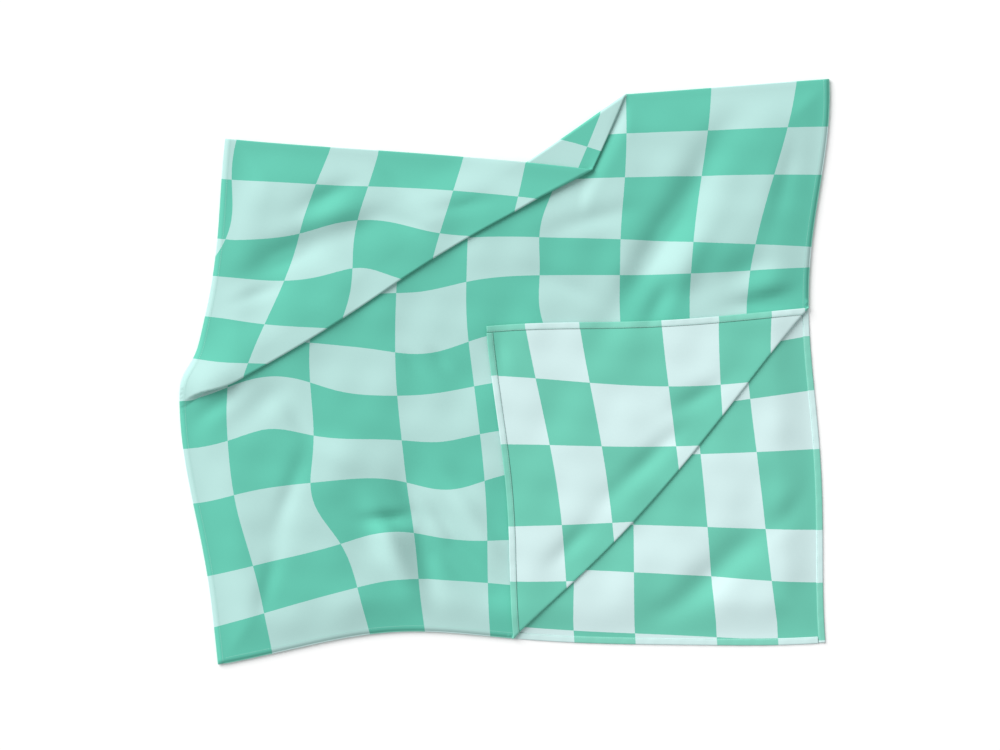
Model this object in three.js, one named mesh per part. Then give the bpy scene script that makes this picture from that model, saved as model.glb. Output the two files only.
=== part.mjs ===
// A quick-dry travel towel, 1600 x 900 mm, lying on a table. It is folded in half, a
// tapering pleat runs across both leaves, and one corner of the upper leaf is turned back.
// Millimetres, +Z up. The flat cloth is measured as u across it and v along it, from the
// upper leaf's end hem (v = 0) over the half fold (v = LENGTH / 2) to the lower leaf's end.
import * as THREE from "three";

const WIDTH = 900;
const LENGTH = 1600;
const THICKNESS = 0.8;
const GAP = 0.3; // between pieces that touch in the real towel

// Each hem is the cloth's own edge turned over to the back, with one row of thread.
const HEM_WIDTH = 9;
const HEM_THICKNESS = 0.6;
const THREAD = 0.5; // a side of the thread row's square section
const HEM_BACK = THICKNESS / 2 + GAP; // from the cloth's mid surface to the hem
const SEAM_WIDTH = HEM_WIDTH + GAP + THREAD;

// The half fold leaves room between the leaves for both of their hems.
const HALF_ROLL = HEM_BACK + HEM_THICKNESS + 0.2;
const STACK = 2 * HALF_ROLL + THICKNESS; // height of the two leaves together
const CORNER_ROLL = 1.2;
const PLEAT_ROLL = STACK / 2 + GAP;

// The pleat's two folds spread from a point outside the left edge.
const PLEAT_APEX = new THREE.Vector2(-70, -460);
const UNDER_ANGLE = THREE.MathUtils.degToRad(33);
const PLEAT_ANGLE = THREE.MathUtils.degToRad(5);
const LANDING = [9, 40, 75]; // the pleated part comes down to the table over this

// The turned corner's fold runs from the end hem to the right edge.
const CORNER_FOLD_FOOT = 440; // from the left edge
const CORNER_FOLD_TOP = 330; // from the half fold

// How the folded towel lies on the table: turned, a little slack, and tugged here and there.
const TURN = THREE.MathUtils.degToRad(4);
const SLACK_ACROSS = 0.96; // soft waves in the cloth take up the rest
const SLACK_DOWN = 0.97;
const CENTRE = new THREE.Vector2(15, -10);
const TUG_REACH = 200;
const TUGS = [
  { at: [-370, 340], by: [-25, -5] }, // the half fold's left end
  { at: [-410, -70], by: [-40, 0] }, // the left edge, where the pleat runs out
  { at: [-390, -420], by: [-10, 5] }, // the lower left corner
  { at: [-150, -400], by: [-5, 40] }, // the end hems, left of the turned corner
  { at: [0, 40], by: [-20, 20] }, // the turned corner's tip
  { at: [40, -400], by: [-20, 5] }, // the lower end of the corner's fold
  { at: [470, -360], by: [-20, -15] }, // the lower right corner
  { at: [440, 80], by: [-15, 5] }, // the upper end of the corner's fold
  { at: [420, 410], by: [40, 5] }, // the half fold's right end
];
const RIDGES = [
  { at: [-260, -215], heading: -62, length: 150, width: 60, height: 7 },
  { at: [-150, -300], heading: -80, length: 90, width: 50, height: 5 },
  { at: [-270, 235], heading: -50, length: 110, width: 60, height: 5 },
  { at: [330, 200], heading: 60, length: 110, width: 60, height: 4 },
];

const CELL = 60; // the largest face of the cloth's mesh
const ROLL_FACES = 3; // round a half turn

const CLOTH_COLOUR = 0x8fd8c8;
const HEM_COLOUR = 0xa6e2d6;
const THREAD_COLOUR = 0xd8f0ec;

// ---- Lines across the folded towel. Its plane has x across and y up, from the left
// ---- end of the half fold, and a line's normal points to the part that it turns.

function lineAtAngle(point, angle) {
  return { point, normal: new THREE.Vector2(-Math.sin(angle), Math.cos(angle)) };
}

function lineThrough(start, end) {
  const along = end.clone().sub(start);
  return lineAtAngle(start, Math.atan2(along.y, along.x));
}

function shiftedLine(line, distance) {
  return {
    point: line.point.clone().addScaledVector(line.normal, distance),
    normal: line.normal,
  };
}

function distancePast(line, p) {
  return (
    (p.x - line.point.x) * line.normal.x + (p.y - line.point.y) * line.normal.y
  );
}

const UNDER_FOLD = lineAtAngle(PLEAT_APEX, UNDER_ANGLE);
const TOP_FOLD = lineAtAngle(PLEAT_APEX, UNDER_ANGLE + PLEAT_ANGLE);
const LANDING_EDGE = lineAtAngle(PLEAT_APEX, UNDER_ANGLE + 2 * PLEAT_ANGLE);
const CORNER_FOLD = lineThrough(
  new THREE.Vector2(CORNER_FOLD_FOOT, -LENGTH / 2),
  new THREE.Vector2(WIDTH, -CORNER_FOLD_TOP),
);
CORNER_FOLD.normal.negate();

// ---- Folding: each step moves a point p = { x, y, z }, with z from the middle of the
// ---- two leaves.

function foldInHalf(u, v, side) {
  const past = v - LENGTH / 2;
  const turn = THREE.MathUtils.clamp(
    past / HALF_ROLL,
    -Math.PI / 2,
    Math.PI / 2,
  );
  const flat = Math.max(Math.abs(past) - (Math.PI * HALF_ROLL) / 2, 0);
  const arm = HALF_ROLL + side;
  return { x: u, y: arm * Math.cos(turn) - flat, z: -arm * Math.sin(turn) };
}

// Rolls p over a line: upwards about a centre at height pivot above p's own zero, or
// downwards when way is -1. past is how far along the flat cloth p is from the line.
function rollOver(p, line, past, radius, pivot, way) {
  const turn = Math.min(past / radius, Math.PI);
  const now = distancePast(line, p);
  const arm = pivot - way * p.z;
  const beyond = turn < Math.PI ? 0 : now - Math.PI * radius;
  const move = arm * Math.sin(turn) - beyond - now;
  p.x += line.normal.x * move;
  p.y += line.normal.y * move;
  p.z = way * (pivot - arm * Math.cos(turn));
}

function turnCornerBack(p) {
  const past = distancePast(CORNER_FOLD, p);
  if (past > 0) {
    rollOver(p, CORNER_FOLD, past, CORNER_ROLL, HALF_ROLL + CORNER_ROLL, 1);
  }
}

function pleat(p) {
  const pastUnder = distancePast(UNDER_FOLD, p);
  const pastTop = distancePast(TOP_FOLD, p);
  if (pastTop > 0) {
    rollOver(p, TOP_FOLD, pastTop, PLEAT_ROLL, PLEAT_ROLL, -1);
  }
  if (pastUnder > 0) {
    rollOver(p, UNDER_FOLD, pastUnder, PLEAT_ROLL, PLEAT_ROLL, 1);
  }
  if (pastTop > 0) {
    const start = LANDING[0];
    const end = LANDING[LANDING.length - 1];
    const clear = distancePast(UNDER_FOLD, p);
    p.z -= 4 * PLEAT_ROLL * THREE.MathUtils.smoothstep(clear, start, end);
  }
}

function ridgeHeight({ at, heading, length, width, height }, x, y) {
  const angle = THREE.MathUtils.degToRad(heading);
  const along = (x - at[0]) * Math.cos(angle) + (y - at[1]) * Math.sin(angle);
  const across = (y - at[1]) * Math.cos(angle) - (x - at[0]) * Math.sin(angle);
  return height * Math.exp(-((along / length) ** 2) - (across / width) ** 2);
}

function layOnTable(p) {
  const x = (p.x - WIDTH / 2) * SLACK_ACROSS;
  const y = (p.y + LENGTH / 4) * SLACK_DOWN;
  const laid = new THREE.Vector2(x, y)
    .rotateAround(new THREE.Vector2(), TURN)
    .add(CENTRE);
  const start = laid.clone();
  for (const { at, by } of TUGS) {
    const away = Math.hypot(start.x - at[0], start.y - at[1]) / TUG_REACH;
    const share = Math.exp(-(away ** 2));
    laid.x += by[0] * share;
    laid.y += by[1] * share;
  }
  let z = p.z + STACK / 2;
  for (const ridge of RIDGES) {
    z += ridgeHeight(ridge, laid.x, laid.y);
  }
  return [laid.x, laid.y, z];
}

// Where a point of the flat cloth lies. side is its distance from the cloth's mid
// surface, positive towards the front, which faces out all round the half fold.
function place([u, v], side) {
  const p = foldInHalf(u, v, side);
  if (v < LENGTH / 2) {
    turnCornerBack(p);
  }
  pleat(p);
  return layOnTable(p);
}

// ---- Meshing: the flat cloth is cut along every fold before it is placed, so that
// ---- each fold is a row of faces.

function evenCuts(from, to, step) {
  const count = Math.max(1, Math.round((to - from) / step));
  return Array.from({ length: count }, (_, i) => from + ((to - from) * i) / count);
}

function acrossCuts() {
  return [
    0,
    ...evenCuts(SEAM_WIDTH, WIDTH - SEAM_WIDTH, CELL),
    WIDTH - SEAM_WIDTH,
    WIDTH,
  ];
}

function alongCuts() {
  const rollStart = (LENGTH - Math.PI * HALF_ROLL) / 2;
  const rollStep = (Math.PI * HALF_ROLL) / ROLL_FACES;
  return [
    0,
    ...evenCuts(SEAM_WIDTH, rollStart, CELL),
    ...evenCuts(rollStart, LENGTH - rollStart, rollStep),
    ...evenCuts(LENGTH - rollStart, LENGTH - SEAM_WIDTH, CELL),
    LENGTH - SEAM_WIDTH,
    LENGTH,
  ];
}

function rollCuts(line, radius) {
  return Array.from({ length: ROLL_FACES + 1 }, (_, i) =>
    shiftedLine(line, (Math.PI * radius * i) / ROLL_FACES),
  );
}

const FOLD_CUTS = [
  ...rollCuts(UNDER_FOLD, PLEAT_ROLL),
  ...rollCuts(TOP_FOLD, PLEAT_ROLL),
  ...LANDING.map((distance) => shiftedLine(LANDING_EDGE, distance)),
  ...rollCuts(CORNER_FOLD, CORNER_ROLL),
];

// Splits a convex polygon of [u, v] points by a line across the folded towel.
function splitPolygon(polygon, line) {
  const distance = ([u, v]) =>
    distancePast(line, { x: u, y: -Math.abs(v - LENGTH / 2) });
  const kept = { below: [], above: [] };
  polygon.forEach((point, i) => {
    const next = polygon[(i + 1) % polygon.length];
    const here = distance(point);
    const there = distance(next);
    if (here <= 0) {
      kept.below.push(point);
    }
    if (here >= 0) {
      kept.above.push(point);
    }
    if (here * there < 0) {
      const share = here / (here - there);
      const crossing = point.map((c, k) => roundOff(c + (next[k] - c) * share));
      kept.below.push(crossing);
      kept.above.push(crossing);
    }
  });
  return [kept.below, kept.above].filter((part) => part.length > 2);
}

function roundOff(value) {
  return Math.round(value * 1e4) / 1e4;
}

// The faces of the flat cloth inside the box from [u0, v0] to [u1, v1].
function flatFaces([u0, v0], [u1, v1]) {
  const within = (cuts, low, high) => [
    low,
    ...cuts.filter((c) => c > low && c < high),
    high,
  ];
  const us = within(acrossCuts(), u0, u1).map(roundOff);
  const vs = within(alongCuts(), v0, v1).map(roundOff);
  let faces = [];
  for (let i = 0; i < us.length - 1; i += 1) {
    for (let j = 0; j < vs.length - 1; j += 1) {
      faces.push([
        [us[i], vs[j]],
        [us[i + 1], vs[j]],
        [us[i + 1], vs[j + 1]],
        [us[i], vs[j + 1]],
      ]);
    }
  }
  for (const line of FOLD_CUTS) {
    faces = faces.flatMap((face) => splitPolygon(face, line));
  }
  return faces;
}

// A closed band of the cloth's stuff between two distances from its mid surface.
function bandGeometry(from, to, back, front) {
  const faces = flatFaces(from, to);
  const positions = [];
  const addFace = (corners, seenFromBehind = false) => {
    for (let i = 1; i < corners.length - 1; i += 1) {
      const [second, third] = seenFromBehind ? [i + 1, i] : [i, i + 1];
      positions.push(...corners[0], ...corners[second], ...corners[third]);
    }
  };
  const edgeKey = (a, b) => a.join() + ">" + b.join();
  const edges = new Set();
  const eachEdge = (face, visit) =>
    face.forEach((a, i) => visit(a, face[(i + 1) % face.length]));
  for (const face of faces) {
    eachEdge(face, (a, b) => edges.add(edgeKey(a, b)));
    addFace(face.map((point) => place(point, front)));
    addFace(face.map((point) => place(point, back)), true);
  }
  for (const face of faces) {
    eachEdge(face, (a, b) => {
      if (!edges.has(edgeKey(b, a))) {
        addFace([place(a, back), place(b, back), place(b, front), place(a, front)]);
      }
    });
  }
  const geometry = new THREE.BufferGeometry();
  geometry.setAttribute("position", new THREE.Float32BufferAttribute(positions, 3));
  geometry.computeVertexNormals();
  return geometry;
}

function piece(name, colour, geometry) {
  const material = new THREE.MeshStandardMaterial({ color: colour, roughness: 0.9 });
  const mesh = new THREE.Mesh(geometry, material);
  mesh.name = name;
  return mesh;
}

// ---- The pieces

function cloth() {
  const geometry = bandGeometry(
    [0, 0],
    [WIDTH, LENGTH],
    -THICKNESS / 2,
    THICKNESS / 2,
  );
  return piece("cloth", CLOTH_COLOUR, geometry);
}

function hem(name, from, to) {
  const geometry = bandGeometry(from, to, -HEM_BACK - HEM_THICKNESS, -HEM_BACK);
  return piece("hem_" + name, HEM_COLOUR, geometry);
}

function threadRow(name, from, to) {
  const geometry = bandGeometry(from, to, -HEM_BACK - THREAD, -HEM_BACK);
  return piece("stitching_" + name, THREAD_COLOUR, geometry);
}

// The side hems run the towel's whole length, round the half fold.
function sideHems() {
  const thread = HEM_WIDTH + GAP;
  return [
    hem("side_left", [0, 0], [HEM_WIDTH, LENGTH]),
    threadRow("side_left", [thread, 0], [SEAM_WIDTH, LENGTH]),
    hem("side_right", [WIDTH - HEM_WIDTH, 0], [WIDTH, LENGTH]),
    threadRow("side_right", [WIDTH - SEAM_WIDTH, 0], [WIDTH - thread, LENGTH]),
  ];
}

// The end hems lie between the side hems' threads.
function endHems() {
  const left = SEAM_WIDTH + GAP;
  const right = WIDTH - left;
  const thread = HEM_WIDTH + GAP;
  return [
    hem("end_upper", [left, 0], [right, HEM_WIDTH]),
    threadRow("end_upper", [left, thread], [right, SEAM_WIDTH]),
    hem("end_lower", [left, LENGTH - HEM_WIDTH], [right, LENGTH]),
    threadRow("end_lower", [left, LENGTH - SEAM_WIDTH], [right, LENGTH - thread]),
  ];
}

const towel = new THREE.Group();
towel.name = "quick_dry_towel";
towel.add(cloth(), ...sideHems(), ...endHems());

export default towel;
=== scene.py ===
"""A quick-dry travel towel, folded in half on a pale floor, for Blender 4.5.

The flat cloth is measured as u across it and v along it, from the upper leaf's end hem
(v = 0) over the half fold (v = LENGTH / 2) to the lower leaf's end hem. Sizes of the towel
are in millimetres, as in the CAD model. Meshes, lights and the camera are in metres.
"""

import math

import bmesh
import bpy
import numpy as np
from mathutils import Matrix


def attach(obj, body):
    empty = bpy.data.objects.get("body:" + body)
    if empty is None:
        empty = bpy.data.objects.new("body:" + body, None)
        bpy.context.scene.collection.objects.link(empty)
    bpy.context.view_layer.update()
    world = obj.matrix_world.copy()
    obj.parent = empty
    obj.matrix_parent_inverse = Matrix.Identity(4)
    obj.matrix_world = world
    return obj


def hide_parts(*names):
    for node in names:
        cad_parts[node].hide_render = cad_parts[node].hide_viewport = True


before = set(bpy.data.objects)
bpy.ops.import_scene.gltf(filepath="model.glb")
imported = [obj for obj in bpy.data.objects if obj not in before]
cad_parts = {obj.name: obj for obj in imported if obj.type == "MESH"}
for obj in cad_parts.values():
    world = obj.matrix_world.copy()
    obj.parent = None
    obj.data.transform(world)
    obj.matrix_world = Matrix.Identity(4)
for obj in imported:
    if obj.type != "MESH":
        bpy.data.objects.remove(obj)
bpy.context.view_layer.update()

MM = 0.001  # in metres

# The flat cloth
WIDTH = 900.0
LENGTH = 1600.0
LEAF = LENGTH / 2  # the upper leaf is before the half fold and the lower leaf after it
THICKNESS = 0.8
HEM_WIDTH = 9.0
SEAM = 7.6  # from the towel's edge to its row of stitches

# Folds: the half fold, the upper leaf's corner turned back, and the tapering pleat. A roll
# is the radius that the cloth's mid surface turns on.
HALF_ROLL = 1.5
STACK = 2 * HALF_ROLL + THICKNESS  # both leaves and the gap between them
CLOSED_GAP = 0.45  # share of the gap between the leaves that is left away from the hems
CLOSED_FROM_EDGE = 60.0  # where the gap has closed
CORNER_ROLL = 1.0
PLEAT_ROOM = 0.3  # between the layers of the pleat, besides the cloth itself
PROUD = 0.4  # how far stitches and the hem's roll stand out of the cloth's front
PLEAT_APEX = (-70.0, -460.0)  # where the pleat's folds would meet, left of the towel
UNDER_ANGLE = math.radians(33)  # of the fold that ends up underneath
PLEAT_ANGLE = math.radians(5)  # from there to the fold on top
# Distances from the apex: the pleat's folds are not yet turned at the first of these and
# fully turned at the second, and their rolls have room for the side hem near the apex and
# for the half fold far from it.
PLEAT_TURNS = (78.0, 180.0)
PLEAT_TIGHTENS = (100.0, 180.0)
PLEAT_WIDENS = (600.0, 680.0)
LANDING = (6.0, 75.0)  # the pleated part comes down to the table over this

# The turned corner's fold runs from the end hem to the right edge.
CORNER_FOLD_FOOT = 440.0  # from the left edge
CORNER_FOLD_TOP = 330.0  # from the half fold

# How the folded towel lies on the table: turned, a little slack, and tugged here and there.
TURN = math.radians(4)
SLACK = (0.96, 0.97)  # shares of the size that are left, across and down
CENTRE = (15.0, -10.0)
TUG_REACH = 200.0
TUGS = [  # at this place of the table, by this much
    ((-370, 340), (-25, -5)),  # the half fold's left end
    ((-410, -70), (-40, 0)),  # the left edge, where the pleat runs out
    ((-390, -420), (-10, 5)),  # the lower left corner
    ((-150, -400), (-5, 40)),  # the end hems, left of the turned corner
    ((0, 40), (-20, 20)),  # the turned corner's tip
    ((40, -400), (-20, 5)),  # the lower end of the corner's fold
    ((470, -360), (-20, -15)),  # the lower right corner
    ((440, 80), (-15, 5)),  # the upper end of the corner's fold
    ((420, 410), (40, 5)),  # the half fold's right end
]

# The print: checks of uneven sizes. Each line runs from its place at one end to its place
# at the other, and bows on the way.
COLUMNS_AT_FOLD = (15, 145, 210, 330, 420, 545, 635, 745, 855)
COLUMNS_AT_HEM = (-60, 80, 225, 310, 410, 530, 615, 735, 830)
ROWS_AT_LEFT = (60, 150, 210, 275, 335, 405, 470, 540, 665, 745, 830)
ROWS_AT_RIGHT = (70, 140, 245, 275, 340, 390, 470, 555, 670, 745, 830)
BOW = 25.0
BOW_CYCLE = 7.5  # lines, after which the bows repeat
BOW_START = 0.5  # lines into that cycle
COLUMN_LEAN = -20.0  # all columns bow this way as well
LINE_RAMP = 20.0  # the width that lines_passed rises over, at each line
LOWER_PRINT = 0.96  # the lower leaf's rows are this much closer together
# The half fold is not in the middle of its row of checks: the lower leaf's first rows start
# this much nearer to it, less and less so up to this distance from it.
LOWER_START = 35.0
LOWER_START_FADES = 300.0
# The lines waver. Near this place, as u and the distance from the half fold, the cloth shows
# the print that would belong this much further across and down. In the comments, up is
# towards the half fold and left is towards u = 0.
PRINT_PULL_REACH = 75.0
PRINT_PULLS = [
    ((0, 130), (-30, 0)),  # the first column line, right, so that it stays on the cloth
    ((200, 60), (0, -15)),  # the first row line keeps its place beside the next pull
    ((205, 130), (0, 40)),  # the second row line, up
    ((190, 220), (-15, 0)),  # the third column line, right
    ((0, 265), (0, 10)),  # the fourth row line's left end, up
    ((345, 350), (0, -25)),  # the fifth row line, down
    ((125, 400), (0, 40)),  # the sixth row line, up
    ((345, 570), (0, -30)),  # the eighth row line, down
    ((0, 560), (0, -15)),  # its left end, down
    ((160, 570), (25, 0)),  # the third column line, left
    ((275, 635), (0, 20)),  # the ninth row line, up
    ((515, 200), (30, 0)),  # the sixth column line, left
    ((510, 320), (30, 0)),  # the same line further down, left
]

# The cloth's mesh
CLOTH_CELL = 6.6
ROLL_FACES = 8  # round a half turn; even, so that the half fold's middle is an edge
BESIDE_ROLL = (0.8, 2.4, 4.8)  # distances of the narrow cuts on both sides of a roll
CUT_TOLERANCE = 1e-4  # corners this near to a cut are taken to lie on it
SHORTEST_EDGE = 0.15  # shorter ones are merged away


# ---- Folding. A point of the folded towel is x, y, z, with x and y from the left end of
# ---- the half fold and z from the middle of the two leaves.


def line_at(point, angle):
    """A line as a point and a normal, which points to the part that the line turns."""
    return np.array(point, float), np.array([-math.sin(angle), math.cos(angle)])


def shifted(line, distance):
    point, normal = line
    return point + distance * normal, normal


def past(line, places):
    """How far places are past the line, on the side that its normal points to."""
    point, normal = line
    return (places[..., :2] - point) @ normal


def smooth(x, low, high):
    """0 up to low and 1 from high on, with a soft step between them."""
    share = np.clip((x - low) / (high - low), 0, 1)
    return share * share * (3 - 2 * share)


UNDER_FOLD = line_at(PLEAT_APEX, UNDER_ANGLE)
TOP_FOLD = line_at(PLEAT_APEX, UNDER_ANGLE + PLEAT_ANGLE)
LANDING_EDGE = line_at(PLEAT_APEX, UNDER_ANGLE + 2 * PLEAT_ANGLE)
CORNER_FOLD = line_at(
    (WIDTH, -CORNER_FOLD_TOP),
    math.atan2(CORNER_FOLD_TOP - LEAF, CORNER_FOLD_FOOT - WIDTH),
)


def gap_when(closed):
    """Half the distance between the leaves: it holds the hems if closed is 0."""
    return HALF_ROLL * (1 - (1 - CLOSED_GAP) * closed)


def half_gap(u, v):
    """Half the distance between the leaves at places of the flat cloth."""
    down = np.abs(v - LEAF)
    edge = np.minimum(np.minimum(u, WIDTH - u), np.minimum(down, LEAF - down))
    return gap_when(smooth(edge, HEM_WIDTH, CLOSED_FROM_EDGE))


def fold_in_half(u, v, side):
    """Where points of the flat cloth are once it is folded in half, at the distance side
    from the cloth's mid surface."""
    beyond = v - LEAF
    turn = np.clip(beyond / HALF_ROLL, -math.pi / 2, math.pi / 2)
    flat = np.maximum(np.abs(beyond) - math.pi * HALF_ROLL / 2, 0)
    arm = HALF_ROLL + side
    height = -(half_gap(u, v) + side) * np.sin(turn)
    return np.stack([u, arm * np.cos(turn) - flat, height], axis=-1)


def roll_over(points, line, along, radius, pivot, way, full=math.pi):
    """Rolls points over a line by the angle full, upwards about a centre at the height
    pivot, or downwards if way is -1. along is how far past the line each point is in flat
    cloth."""
    turn = np.clip(along / radius, 0, full)
    now = past(line, points)
    arm = pivot - way * points[..., 2]
    straight = np.where(turn < full, 0, now - full * radius)
    move = arm * np.sin(turn) + straight * np.cos(turn) - now
    rolled = points.copy()
    rolled[..., :2] += move[..., None] * line[1]
    rolled[..., 2] = way * (pivot - arm * np.cos(turn) + straight * np.sin(turn))
    return np.where((along > 0)[..., None], rolled, points)


def turn_corner_back(points, upper, gap):
    along = np.where(upper, past(CORNER_FOLD, points), 0)
    return roll_over(points, CORNER_FOLD, along, CORNER_ROLL, gap + CORNER_ROLL, 1)


def pleat(points):
    """Both folds keep a point's distance from the apex, so layers that come to lie on each
    other agree on the rolls' radius and stay apart."""
    flat_height = points[..., 2]
    past_under = past(UNDER_FOLD, points)
    past_top = past(TOP_FOLD, points)
    distance = np.linalg.norm(points[..., :2] - PLEAT_APEX, axis=-1)
    closed = smooth(distance, *PLEAT_TIGHTENS) - smooth(distance, *PLEAT_WIDENS)
    roll = gap_when(closed) + THICKNESS / 2 + PLEAT_ROOM
    full = math.pi * smooth(distance, *PLEAT_TURNS)
    points = roll_over(points, TOP_FOLD, past_top, roll, roll, -1, full)
    points = roll_over(points, UNDER_FOLD, past_under, roll, roll, 1, full)
    landed = np.where(past_top > 0, smooth(past(UNDER_FOLD, points), *LANDING), 0)
    points[..., 2] += (flat_height - points[..., 2]) * landed
    return points


# ---- Laying on the table, with the soft waves of cloth put down by hand.

# At x, y; heading in degrees; length, width and height. A valley has a height below 0.
BROAD_WAVES = [
    (-260, -215, -62, 150, 45, 3),
    (-270, 235, -50, 110, 40, 2),
    (330, 200, 60, 110, 40, 2),
]
CREASES_ABOVE_PLEAT = [
    (-165, 280, -40, 35, 8, -2.5),
    (-305, 165, 25, 90, 22, -5),
    (-240, 220, 15, 55, 18, 4),
    (-245, 250, 28, 40, 14, -3),
    (-150, 215, -20, 50, 14, -2),
    (-350, 110, 20, 40, 10, -2),
    (-60, 235, 10, 45, 12, -2),
]
CREASES_LOWER_LEFT = [
    (-415, -50, 36, 50, 14, -4),
    (-335, -40, 40, 45, 20, -2.5),
    (-290, -65, -55, 30, 12, -2),
    (-210, -125, -28, 70, 25, 4),
    (-130, 15, -45, 20, 10, -1.5),
    (-125, -190, -63, 50, 18, -4),
    (-160, -205, 0, 32, 10, -6),
    (-155, -250, -65, 65, 16, 6),
    (-110, -265, -75, 45, 14, -3),
    (-50, -280, -40, 65, 24, -5),
    (-95, -140, -35, 55, 22, -3),
    (-45, -205, -58, 80, 14, 2.5),
    (-75, -225, -58, 70, 10, -2.5),
    (-90, 20, -45, 18, 8, -2),
    (-300, -165, 70, 60, 12, -2),
    (-330, -290, 75, 45, 12, -2),
]
CREASES_UPPER_RIGHT = [
    (215, 180, 60, 110, 22, -5),
    (255, 150, 60, 80, 20, 3.5),
    (220, 100, 60, 35, 15, -4),
    (290, 310, 65, 70, 24, -2.5),
    (120, 215, 15, 60, 14, -2),
    (90, 120, -25, 55, 14, -2),
    (395, 270, 75, 60, 14, -2),
    (330, 140, 20, 65, 22, -3),
    (390, 104, 8, 60, 14, -7),
]
CREASES_LOWER_RIGHT = [
    (270, -35, 30, 45, 14, -3),
    (200, -125, 44, 70, 15, -3.5),
    (95, -240, 44, 35, 13, -2.5),
    (-5, 25, -80, 28, 9, -1.5),
    (325, -255, 40, 65, 20, -3),
    (245, -325, 38, 65, 20, -3),
    (410, -190, 45, 45, 16, -2),
]
RELIEF = [
    *BROAD_WAVES,
    *CREASES_ABOVE_PLEAT,
    *CREASES_LOWER_LEFT,
    *CREASES_UPPER_RIGHT,
    *CREASES_LOWER_RIGHT,
]
LIFT = 7.5  # of the middle of the towel off the table, which leaves room for valleys
LIFT_MARGIN = 60.0  # the lift and the creases fade out over this, towards the outline
# The laid towel's outline, roughly: where each side runs, as x, y points.
LEFT_SIDE = ((-395, -405), (-455, -70), (-375, 330))
RIGHT_SIDE = ((455, -375), (430, 100), (458, 410))
BOTTOM_SIDE = ((-400, -405), (-130, -365), (40, -380), (455, -375))
TOP_SIDE = ((-380, 330), (110, 275), (175, 395), (455, 410))
FLATTEST = 0.6  # softens the cloth's landing on the table
DEPTH = 1.8  # of every wave and crease
RIPPLE_SEED = 7
RIPPLE_COUNT = 14
RIPPLE_LENGTHS = (45.0, 150.0)
RIPPLE_HEIGHT = 0.3
SLOPE_STEP = 0.5  # the distance that a slope is measured over


def make_ripples():
    """Small even waves in all directions: wave numbers, phases."""
    random = np.random.default_rng(RIPPLE_SEED)
    heading = random.uniform(0, math.pi, RIPPLE_COUNT)
    length = random.uniform(*RIPPLE_LENGTHS, RIPPLE_COUNT)
    phase = random.uniform(0, 2 * math.pi, RIPPLE_COUNT)
    number = 2 * math.pi / length
    return np.stack([number * np.cos(heading), number * np.sin(heading), phase], axis=-1)


RIPPLES = make_ripples()


def inside_outline(x, y):
    """How far inside the laid towel's outline places on the table are."""
    left_x, left_y = np.transpose(LEFT_SIDE)
    right_x, right_y = np.transpose(RIGHT_SIDE)
    nearest_side = np.minimum(
        x - np.interp(y, left_y, left_x), np.interp(y, right_y, right_x) - x
    )
    nearest_end = np.minimum(
        y - np.interp(x, *np.transpose(BOTTOM_SIDE)), np.interp(x, *np.transpose(TOP_SIDE)) - y
    )
    return np.minimum(nearest_side, nearest_end)


def relief_height(x, y):
    """How far waves and creases raise the cloth. It depends only on the place on the
    table, so that layers which lie on each other stay apart."""
    total = np.full_like(x, LIFT)
    for at_x, at_y, heading, length, width, height in RELIEF:
        angle = math.radians(heading)
        along = (x - at_x) * math.cos(angle) + (y - at_y) * math.sin(angle)
        across = (y - at_y) * math.cos(angle) - (x - at_x) * math.sin(angle)
        total += DEPTH * height * np.exp(-((along / length) ** 2) - (across / width) ** 2)
    for number_x, number_y, phase in RIPPLES:
        total += RIPPLE_HEIGHT * np.sin(number_x * x + number_y * y + phase)
    total *= smooth(inside_outline(x, y), 0, LIFT_MARGIN)
    return (total + np.sqrt(total**2 + FLATTEST**2) - FLATTEST) / 2


def slope_stretch(x, y):
    """How much further apart, straight up, layers lie where the relief is steep."""
    here = relief_height(x, y)
    slope_x = relief_height(x + SLOPE_STEP, y) - here
    slope_y = relief_height(x, y + SLOPE_STEP) - here
    return np.sqrt(1 + (slope_x**2 + slope_y**2) / SLOPE_STEP**2)


def tugged(x, y, tugs, reach):
    """Places moved by tugs, each of which fades out at about its reach."""
    moved_x, moved_y = x.copy(), y.copy()
    for (at_x, at_y), (by_x, by_y) in tugs:
        share = np.exp(-((x - at_x) ** 2 + (y - at_y) ** 2) / reach**2)
        moved_x += by_x * share
        moved_y += by_y * share
    return moved_x, moved_y


def lay_on_table(points):
    x = (points[..., 0] - WIDTH / 2) * SLACK[0]
    y = (points[..., 1] + LEAF / 2) * SLACK[1]
    cos, sin = math.cos(TURN), math.sin(TURN)
    start_x = CENTRE[0] + cos * x - sin * y
    start_y = CENTRE[1] + sin * x + cos * y
    laid_x, laid_y = tugged(start_x, start_y, TUGS, TUG_REACH)
    above_table = (points[..., 2] + STACK / 2 + PROUD) * slope_stretch(laid_x, laid_y)
    z = above_table + relief_height(laid_x, laid_y)
    return np.stack([laid_x, laid_y, z], axis=-1)


def place(u, v, side=0.0):
    """Where points of the flat cloth lie, in metres. side is their distance from its mid
    surface, positive towards the front."""
    u, v, side = np.broadcast_arrays(
        np.asarray(u, float), np.asarray(v, float), np.asarray(side, float)
    )
    gap = half_gap(u, v)
    points = turn_corner_back(fold_in_half(u, v, side), v < LEAF, gap)
    return lay_on_table(pleat(points)) * MM


# ---- The print


def bowed_lines(starts, ends, share, lean=0.0):
    """Each printed line's place, at shares of the way along it."""
    lines = []
    for number, (start, end) in enumerate(zip(starts, ends)):
        bow = lean - BOW * math.sin(2 * math.pi * (number + BOW_START) / BOW_CYCLE)
        lines.append(start + (end - start) * share + bow * np.sin(math.pi * share))
    return lines


def column_lines(down):
    share = np.clip(down / LEAF, 0, 1)
    return bowed_lines(COLUMNS_AT_FOLD, COLUMNS_AT_HEM, share, COLUMN_LEAN)


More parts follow.
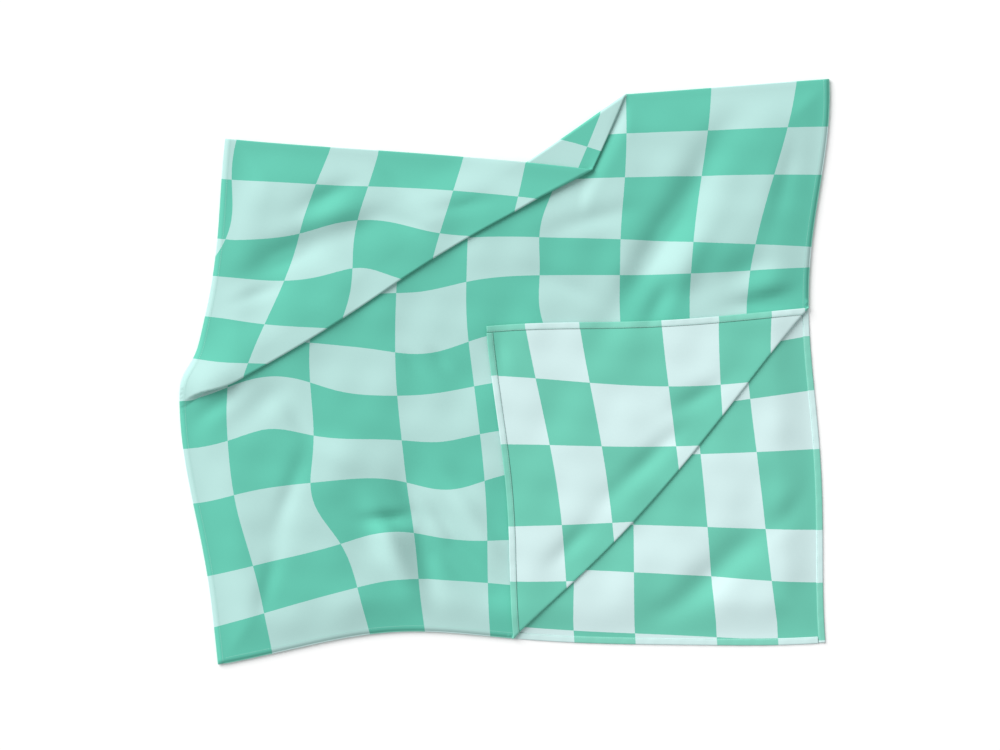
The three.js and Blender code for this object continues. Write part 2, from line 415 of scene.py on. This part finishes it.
def row_lines(u):
    return bowed_lines(ROWS_AT_LEFT, ROWS_AT_RIGHT, np.clip(u / WIDTH, 0, 1))


def lines_passed(position, lines):
    """How many printed lines lie before each position. It rises in a short ramp over each
    line, and is half way up on the line itself."""
    return sum(np.clip((position - line) / LINE_RAMP + 0.5, 0, 1) for line in lines)


def print_coordinates(u, v):
    """How many column lines and row lines lie before points of the flat cloth."""
    down = np.abs(v - LEAF)
    lower = down / LOWER_PRINT + LOWER_START * (1 - smooth(down, 0, LOWER_START_FADES))
    down = np.where(v > LEAF, lower, down)
    u, down = tugged(u, down, PRINT_PULLS, PRINT_PULL_REACH)
    return lines_passed(u, column_lines(down)), lines_passed(down, row_lines(u))


# ---- Meshes


def linked_object(name, data):
    obj = bpy.data.objects.new(name, data)
    bpy.context.scene.collection.objects.link(obj)
    return obj


def set_positions(mesh, positions):
    """Moves a mesh's corners to new places, in metres."""
    mesh.vertices.foreach_set("co", positions.astype(np.float32).ravel())
    mesh.update()


def add_uv(mesh, name, values):
    """A UV map from two values for each vertex."""
    corners = np.empty(len(mesh.loops), dtype=np.int32)
    mesh.loops.foreach_get("vertex_index", corners)
    layer = mesh.uv_layers.new(name=name)
    pairs = np.stack(values, axis=-1)[corners]
    layer.data.foreach_set("uv", pairs.astype(np.float32).ravel())


def grid_faces(rows, columns, closed=False):
    """Quads of a grid of vertices that is stored row by row."""
    last = columns if closed else columns - 1
    first = np.arange(rows - 1)[:, None] * columns
    here = np.arange(last)[None, :]
    after = (here + 1) % columns
    quads = [first + here, first + after, first + columns + after, first + columns + here]
    return np.stack(quads, axis=-1).reshape(-1, 4)


def shade_smooth(mesh):
    mesh.polygons.foreach_set("use_smooth", [True] * len(mesh.polygons))


def smooth_mesh(name, positions, faces):
    mesh = bpy.data.meshes.new(name)
    mesh.from_pydata(positions.reshape(-1, 3).tolist(), [], faces.tolist())
    shade_smooth(mesh)
    mesh.update()
    return mesh


def roll_cuts(line, radius):
    """Cuts round a roll, and narrow ones on both sides that keep its shading off the
    flat cloth."""
    steps = np.linspace(0, math.pi * radius, ROLL_FACES + 1)
    before = -np.array(BESIDE_ROLL)
    after = math.pi * radius + np.array(BESIDE_ROLL)
    return [shifted(line, step) for step in (*before, *steps, *after)]


def cut_leaf(mesh_data, line, way):
    """Cuts the flat cloth of the upper leaf, or the lower if way is -1, along a line."""
    point, normal = line
    faces = [f for f in mesh_data.faces if way * (f.calc_center_median().y - LEAF) < 0]
    edges = {e for f in faces for e in f.edges}
    verts = {v for f in faces for v in f.verts}
    bmesh.ops.bisect_plane(
        mesh_data,
        geom=[*faces, *edges, *verts],
        dist=CUT_TOLERANCE,
        plane_co=(point[0], LEAF + way * point[1], 0),
        plane_no=(normal[0], way * normal[1], 0),
    )


def flat_cloth():
    """The flat cloth as a grid that is cut along every fold."""
    roll = math.pi * HALF_ROLL / 2
    leaf_cells = round(LEAF / CLOTH_CELL)
    us = np.linspace(0, WIDTH, round(WIDTH / CLOTH_CELL) + 1)
    upper = np.linspace(0, LEAF - roll, leaf_cells + 1)
    fold = np.linspace(LEAF - roll, LEAF + roll, ROLL_FACES + 1)[1:-1]
    vs = np.concatenate([upper, fold, LENGTH - upper[::-1]])
    v_grid, u_grid = np.meshgrid(vs, us, indexing="ij")
    flat = np.stack([u_grid, v_grid, np.zeros_like(u_grid)], axis=-1)
    faces = grid_faces(len(vs), len(us))
    lower = faces[len(faces) // 2 :]
    lower[:] = np.roll(lower, 1, axis=1)  # both leaves are then split along like diagonals
    mesh = smooth_mesh("cloth", flat, faces)
    mesh_data = bmesh.new()
    mesh_data.from_mesh(mesh)
    pleat_cuts = [
        *roll_cuts(UNDER_FOLD, STACK / 2),
        *roll_cuts(TOP_FOLD, STACK / 2),
        *[shifted(LANDING_EDGE, distance) for distance in (0, LANDING[0])],
    ]
    for line in pleat_cuts:
        cut_leaf(mesh_data, line, 1)
        cut_leaf(mesh_data, line, -1)
    for line in roll_cuts(CORNER_FOLD, CORNER_ROLL):
        cut_leaf(mesh_data, line, 1)
    bmesh.ops.dissolve_degenerate(mesh_data, dist=SHORTEST_EDGE, edges=mesh_data.edges)
    mesh_data.to_mesh(mesh)
    mesh_data.free()
    return mesh


def make_cloth(front, back):
    """The folded cloth: a bent sheet, which a modifier gives its thickness and its back."""
    mesh = flat_cloth()
    flat = np.empty(len(mesh.vertices) * 3)
    mesh.vertices.foreach_get("co", flat)
    u, v = flat.reshape(-1, 3)[:, 0], flat.reshape(-1, 3)[:, 1]
    set_positions(mesh, place(u, v))
    add_uv(mesh, "print", print_coordinates(u, v))
    add_uv(mesh, "cloth", (u * MM, v * MM))
    mesh.materials.append(front)
    mesh.materials.append(back)
    shade_smooth(mesh)
    cloth = linked_object("printed_cloth", mesh)
    solid = cloth.modifiers.new("thickness", "SOLIDIFY")
    solid.thickness = THICKNESS * MM
    solid.offset = 0
    solid.material_offset = 1
    solid.use_quality_normals = True
    return cloth


def close_holes(mesh):
    """Caps the open ends of a mesh and turns all its faces outwards."""
    mesh_data = bmesh.new()
    mesh_data.from_mesh(mesh)
    open_edges = [edge for edge in mesh_data.edges if edge.is_boundary]
    bmesh.ops.holes_fill(mesh_data, edges=open_edges, sides=0)
    bmesh.ops.recalc_face_normals(mesh_data, faces=mesh_data.faces)
    mesh_data.to_mesh(mesh)
    mesh_data.free()


# ---- Hems and stitches. A hem is measured by the distance in from the towel's edge, the
# ---- distance along it, and the height above the cloth's back.

CORNER_CLEAR = 0.5  # between an end hem and a side hem
END_HEM_START = HEM_WIDTH + CORNER_CLEAR
END_HEM_END = WIDTH - END_HEM_START
EDGES = {  # where each hem starts and ends along its edge, and its places in the flat cloth
    "side_left": (0.0, LENGTH, lambda inset, along: (inset, along)),
    "side_right": (0.0, LENGTH, lambda inset, along: (WIDTH - inset, along)),
    "end_upper": (END_HEM_START, END_HEM_END, lambda inset, along: (along, inset)),
    "end_lower": (END_HEM_START, END_HEM_END, lambda inset, along: (along, LENGTH - inset)),
}
HEM_TOP = 0.85  # from the hem's inner edge up to its top
HEM_ROLL = 0.8  # how far the cloth's turned edge stands out
HEM_ROLL_FACES = 5
HEM_TOP_FACES = 7
HEM_END = HEM_WIDTH + 0.2  # the inner edge
HEM_END_HEIGHT = 0.05
HEM_END_SHARPNESS = 8  # the hem stays flat up to its inner edge
SEAM_DIP = 0.25  # where the stitches pull the hem in
SEAM_DIP_WIDTH = 0.8
HEM_STEP = 1.25  # from one section of the hem to the next
PUCKERS = [(0.12, 5.3, 0), (0.08, 2.9, 1)]  # share of the height, length, phase
PUCKERED_ABOVE = HEM_TOP / 3  # lower down the hem stays even


def hem_height(inset):
    """The hem's top, which dips at the stitches and falls away at its inner edge."""
    flat = HEM_TOP * (1 - (inset / HEM_END) ** HEM_END_SHARPNESS)
    return HEM_END_HEIGHT + flat - SEAM_DIP * np.exp(-(((inset - SEAM) / SEAM_DIP_WIDTH) ** 2))


def hem_section():
    """From the cloth's front, round the towel's edge and over the hem's top."""
    turn = np.linspace(-math.pi / 2, math.pi / 2, HEM_ROLL_FACES + 1)
    top = np.linspace(0, HEM_END, HEM_TOP_FACES + 1)[1:]
    inset = np.concatenate([-HEM_ROLL * np.cos(turn), top])
    height = np.concatenate([HEM_TOP * np.sin(turn), hem_height(top)])
    return inset, height


def make_hem(name, material):
    """The cloth's own edge turned over to its back and sewn down."""
    start, end, locate = EDGES[name]
    inset, height = hem_section()
    count = round((end - start) / HEM_STEP) + 1
    along, inset = np.meshgrid(np.linspace(start, end, count), inset, indexing="ij")
    pucker = 1 + sum(
        share * np.sin(along / length + phase) for share, length, phase in PUCKERS
    )
    rise = height * np.where(height > PUCKERED_ABOVE, pucker, 1)
    u, v = locate(inset, along)
    positions = place(u, v, -THICKNESS / 2 - rise)
    mesh = smooth_mesh(name, positions, grid_faces(*inset.shape, closed=True))
    close_holes(mesh)
    turned_over = [line.ravel() for line in locate(-inset, along)]
    add_uv(mesh, "print", print_coordinates(*turned_over))
    add_uv(mesh, "cloth", (u.ravel() * MM, v.ravel() * MM))
    mesh.materials.append(material)
    return linked_object("hem_fold_" + name, mesh)


STITCH_PITCH = 3.4
STITCH_LENGTH = 2.7  # the part of the pitch where the thread lies on top
FIRST_STITCH = 3.0  # from the hem's end
STITCH_RISE = np.array([-0.25, 0.1, 0.16, 0.1, -0.25])  # along one stitch
THREAD_RADIUS = 0.2  # part of the thread sinks into the cloth
THREAD_SIDES = 6
UP_STEP = 0.3  # a small distance, which shows the way out of the cloth


def unit(vectors):
    return vectors / np.linalg.norm(vectors, axis=-1, keepdims=True)


def stitch_tubes(u, v, side):
    """Tubes of thread along rows of points, one row for each stitch."""
    centre = place(u, v, side)
    up = unit(place(u, v, side + UP_STEP) - centre)
    across = np.cross(unit(np.gradient(centre, axis=1)), up)
    angles = np.linspace(0, 2 * math.pi, THREAD_SIDES, endpoint=False)[:, None]
    ring = np.cos(angles) * across[..., None, :] + np.sin(angles) * up[..., None, :]
    return centre[..., None, :] + ring * THREAD_RADIUS * MM


def make_stitches(name, material):
    """A row of lockstitch: each step has one stitch on the front and one on the hem."""
    start, end, locate = EDGES[name]
    starts = np.arange(start + FIRST_STITCH, end - FIRST_STITCH, STITCH_PITCH)
    along = starts[:, None] + np.linspace(0, STITCH_LENGTH, len(STITCH_RISE))
    u, v = locate(np.full_like(along, SEAM), along)
    front = THICKNESS / 2 + STITCH_RISE
    tubes = np.concatenate(
        [stitch_tubes(u, v, front), stitch_tubes(u, v, -front - hem_height(SEAM))]
    )
    count, stations, sides, _ = tubes.shape
    first = np.arange(count)[:, None, None] * stations * sides
    faces = (grid_faces(stations, sides, closed=True) + first).reshape(-1, 4)
    mesh = smooth_mesh(name, tubes, faces)
    close_holes(mesh)
    mesh.materials.append(material)
    return linked_object("stitches_" + name, mesh)


# ---- Materials

FRONT_PALE = (0.44, 0.675, 0.642)
FRONT_GREEN = (0.117, 0.51, 0.388)
BACK_PALE = (0.615, 0.79, 0.787)
BACK_GREEN = (0.148, 0.55, 0.42)
HEM_PALE = (0.58, 0.77, 0.76)
HEM_GREEN = (0.205, 0.585, 0.465)
THREAD_DARK = (0.34, 0.66, 0.58)
THREAD_PALE = (0.46, 0.75, 0.68)
FLOOR_DARK = (0.93, 0.93, 0.93)
FLOOR_PALE = (0.95, 0.95, 0.95)

# Noises: scale, detail and roughness. The cloth's shades are multiplied in, by this share.
CLOUDS = (9, 3.0, 0.55)
CLOUD_SHADE = (0.62, 0.74, 0.72)
CLOUD_SHARE = 0.10
FLECKS = (900, 2.0, 0.7)
FLECK_SHADE = (0.70, 0.80, 0.78)
FLECK_SHARE = 0.12
NAP = (1400, 3.0, 0.6)
PLY = (1500, 2.0, 0.6)
GRAIN = (30, 2.0, 0.5)
RAGGED = (240, 2.0, 0.5)
RAGGED_EDGE = 0.03  # of a line's ramp
WEAVE_SCALE = 320.0
WEAVE_WANDER = 0.4
WEAVE_SHARE = 0.4
WEAVE_STRENGTH = 0.35
WEAVE_DEPTH = 0.0003  # metres
CLOTH_ROUGHNESS = (0.72, 0.15)  # at least, and how much more
CLOTH_SHINE = 0.2
SHEEN = 0.08
SHEEN_ROUGHNESS = 0.45
THREAD_ROUGHNESS = 0.6
FLOOR_ROUGHNESS = 0.9


def new_material(name):
    material = bpy.data.materials.new(name)
    material.use_nodes = True
    tree = material.node_tree
    tree.nodes.clear()
    shader = tree.nodes.new("ShaderNodeBsdfPrincipled")
    output = tree.nodes.new("ShaderNodeOutputMaterial")
    tree.links.new(shader.outputs["BSDF"], output.inputs["Surface"])
    return material, tree, shader


def math_node(tree, operation, *values):
    node = tree.nodes.new("ShaderNodeMath")
    node.operation = operation
    for socket, value in zip(node.inputs, values):
        if isinstance(value, (int, float)):
            socket.default_value = value
        else:
            tree.links.new(value, socket)
    return node.outputs[0]


def uv_node(tree, name):
    node = tree.nodes.new("ShaderNodeUVMap")
    node.uv_map = name
    return node.outputs["UV"]


def object_node(tree):
    return tree.nodes.new("ShaderNodeTexCoord").outputs["Object"]


def noise_node(tree, vector, scale, detail, roughness):
    node = tree.nodes.new("ShaderNodeTexNoise")
    node.inputs["Scale"].default_value = scale
    node.inputs["Detail"].default_value = detail
    node.inputs["Roughness"].default_value = roughness
    tree.links.new(vector, node.inputs["Vector"])
    return node.outputs["Fac"]


MIX_INPUTS = (0, 6, 7)  # the mix node's factor and its two colours
MIX_OUTPUT = 2


def mix_colours(tree, factor, first, second, blend="MIX"):
    node = tree.nodes.new("ShaderNodeMix")
    node.data_type = "RGBA"
    node.blend_type = blend
    for number, value in zip(MIX_INPUTS, (factor, first, second)):
        socket = node.inputs[number]
        if isinstance(value, (int, float)):
            socket.default_value = value
        elif isinstance(value, tuple):
            socket.default_value = (*value, 1)
        else:
            tree.links.new(value, socket)
    return node.outputs[MIX_OUTPUT]


def check_factor(tree):
    """1 on the green checks and 0 on the pale ones, with slightly uneven printed edges."""
    axes = tree.nodes.new("ShaderNodeSeparateXYZ")
    tree.links.new(uv_node(tree, "print"), axes.inputs[0])
    ragged = noise_node(tree, uv_node(tree, "cloth"), *RAGGED)
    shift = math_node(tree, "MULTIPLY_ADD", ragged, RAGGED_EDGE, -RAGGED_EDGE / 2)
    column = math_node(tree, "ROUND", math_node(tree, "ADD", axes.outputs[0], shift))
    row = math_node(tree, "ROUND", math_node(tree, "ADD", axes.outputs[1], shift))
    return math_node(tree, "MODULO", math_node(tree, "ADD", column, row), 2.0)


def weave_height(tree, vector):
    """The fine crossed threads of the cloth and its brushed nap."""
    waves = []
    for axis in ("X", "Y"):
        wave = tree.nodes.new("ShaderNodeTexWave")
        wave.wave_type = "BANDS"
        wave.bands_direction = axis
        wave.inputs["Scale"].default_value = WEAVE_SCALE
        wave.inputs["Distortion"].default_value = WEAVE_WANDER
        tree.links.new(vector, wave.inputs["Vector"])
        waves.append(wave.outputs["Fac"])
    threads = math_node(tree, "MAXIMUM", *waves)
    nap = noise_node(tree, vector, *NAP)
    return math_node(tree, "MULTIPLY_ADD", threads, WEAVE_SHARE, nap)


def weave_normal(tree, vector):
    bump = tree.nodes.new("ShaderNodeBump")
    bump.inputs["Strength"].default_value = WEAVE_STRENGTH
    bump.inputs["Distance"].default_value = WEAVE_DEPTH
    tree.links.new(weave_height(tree, vector), bump.inputs["Height"])
    return bump.outputs["Normal"]


def shaded(tree, colour, noise, share, shade):
    """The colour with some of a darker shade multiplied in, unevenly."""
    return mix_colours(tree, math_node(tree, "MULTIPLY", noise, share), colour, shade, "MULTIPLY")


def cloth_material(name, pale, green):
    material, tree, shader = new_material(name)
    flat = uv_node(tree, "cloth")
    clouds = noise_node(tree, flat, *CLOUDS)
    flecks = noise_node(tree, flat, *FLECKS)
    colour = mix_colours(tree, check_factor(tree), pale, green)
    colour = shaded(tree, colour, clouds, CLOUD_SHARE, CLOUD_SHADE)
    colour = shaded(tree, colour, flecks, FLECK_SHARE, FLECK_SHADE)
    tree.links.new(colour, shader.inputs["Base Color"])
    least, more = CLOTH_ROUGHNESS
    roughness = math_node(tree, "MULTIPLY_ADD", clouds, more, least)
    tree.links.new(roughness, shader.inputs["Roughness"])
    tree.links.new(weave_normal(tree, flat), shader.inputs["Normal"])
    shader.inputs["Specular IOR Level"].default_value = CLOTH_SHINE
    shader.inputs["Sheen Weight"].default_value = SHEEN
    shader.inputs["Sheen Roughness"].default_value = SHEEN_ROUGHNESS
    return material


def thread_material():
    material, tree, shader = new_material("sewing_thread")
    ply = noise_node(tree, object_node(tree), *PLY)
    colour = mix_colours(tree, ply, THREAD_DARK, THREAD_PALE)
    tree.links.new(colour, shader.inputs["Base Color"])
    shader.inputs["Roughness"].default_value = THREAD_ROUGHNESS
    return material


def floor_material():
    material, tree, shader = new_material("pale_floor")
    grain = noise_node(tree, object_node(tree), *GRAIN)
    colour = mix_colours(tree, grain, FLOOR_DARK, FLOOR_PALE)
    tree.links.new(colour, shader.inputs["Base Color"])
    shader.inputs["Roughness"].default_value = FLOOR_ROUGHNESS
    return material


# ---- The scene

FLOOR_HALF = 6.0  # half its side
FLOOR_DROP = 0.0002  # below the towel, so that the two don't touch
KEY_TILT = math.radians(58)  # from straight down
KEY_TURN = math.radians(50)  # the light comes from the upper left
KEY_SOFTNESS = math.radians(50)
KEY_STRENGTH = 3.5
SKY_STRENGTH = 0.52
FRAME_WIDTH = 1.41  # of floor across the picture
FRAME_CENTRE = (-0.0053, -0.0028)  # the place that the camera looks straight down on
LENS = 85.0
SENSOR = 36.0


def make_floor():
    mesh = bpy.data.meshes.new("floor")
    corners = [(-1, -1), (1, -1), (1, 1), (-1, 1)]
    vertices = [(x * FLOOR_HALF, y * FLOOR_HALF, 0) for x, y in corners]
    mesh.from_pydata(vertices, [], [(0, 1, 2, 3)])
    mesh.materials.append(floor_material())
    floor = linked_object("floor", mesh)
    floor.location.z = -FLOOR_DROP


def make_lights():
    light = bpy.data.lights.new("softbox", "SUN")
    light.angle = KEY_SOFTNESS
    light.energy = KEY_STRENGTH
    lamp = linked_object("softbox", light)
    lamp.rotation_euler = (KEY_TILT, 0, math.pi + KEY_TURN)
    world = bpy.data.worlds.new("studio")
    world.use_nodes = True
    background = world.node_tree.nodes["Background"]
    background.inputs["Color"].default_value = (1, 1, 1, 1)
    background.inputs["Strength"].default_value = SKY_STRENGTH
    bpy.context.scene.world = world


def make_camera():
    camera_data = bpy.data.cameras.new("camera")
    camera_data.lens = LENS
    camera_data.sensor_width = SENSOR
    camera = linked_object("camera", camera_data)
    camera.location = (*FRAME_CENTRE, FRAME_WIDTH * LENS / SENSOR)
    bpy.context.scene.camera = camera


def add_piece(piece, node):
    """Ties a piece to the root body and hides the CAD node that it replaces."""
    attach(piece, "root")
    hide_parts(node)
    return piece


def main():
    make_floor()
    make_lights()
    make_camera()
    bpy.context.scene.view_settings.view_transform = "Standard"

    front = cloth_material("printed_front", FRONT_PALE, FRONT_GREEN)
    back = cloth_material("printed_back", BACK_PALE, BACK_GREEN)
    hem_cloth = cloth_material("printed_hem", HEM_PALE, HEM_GREEN)
    thread = thread_material()

    cloth = add_piece(make_cloth(front, back), "cloth")
    for name in EDGES:
        add_piece(make_hem(name, hem_cloth), "hem_" + name)
        stitches = make_stitches(name, thread)
        add_piece(stitches, "stitching_" + name)


main()
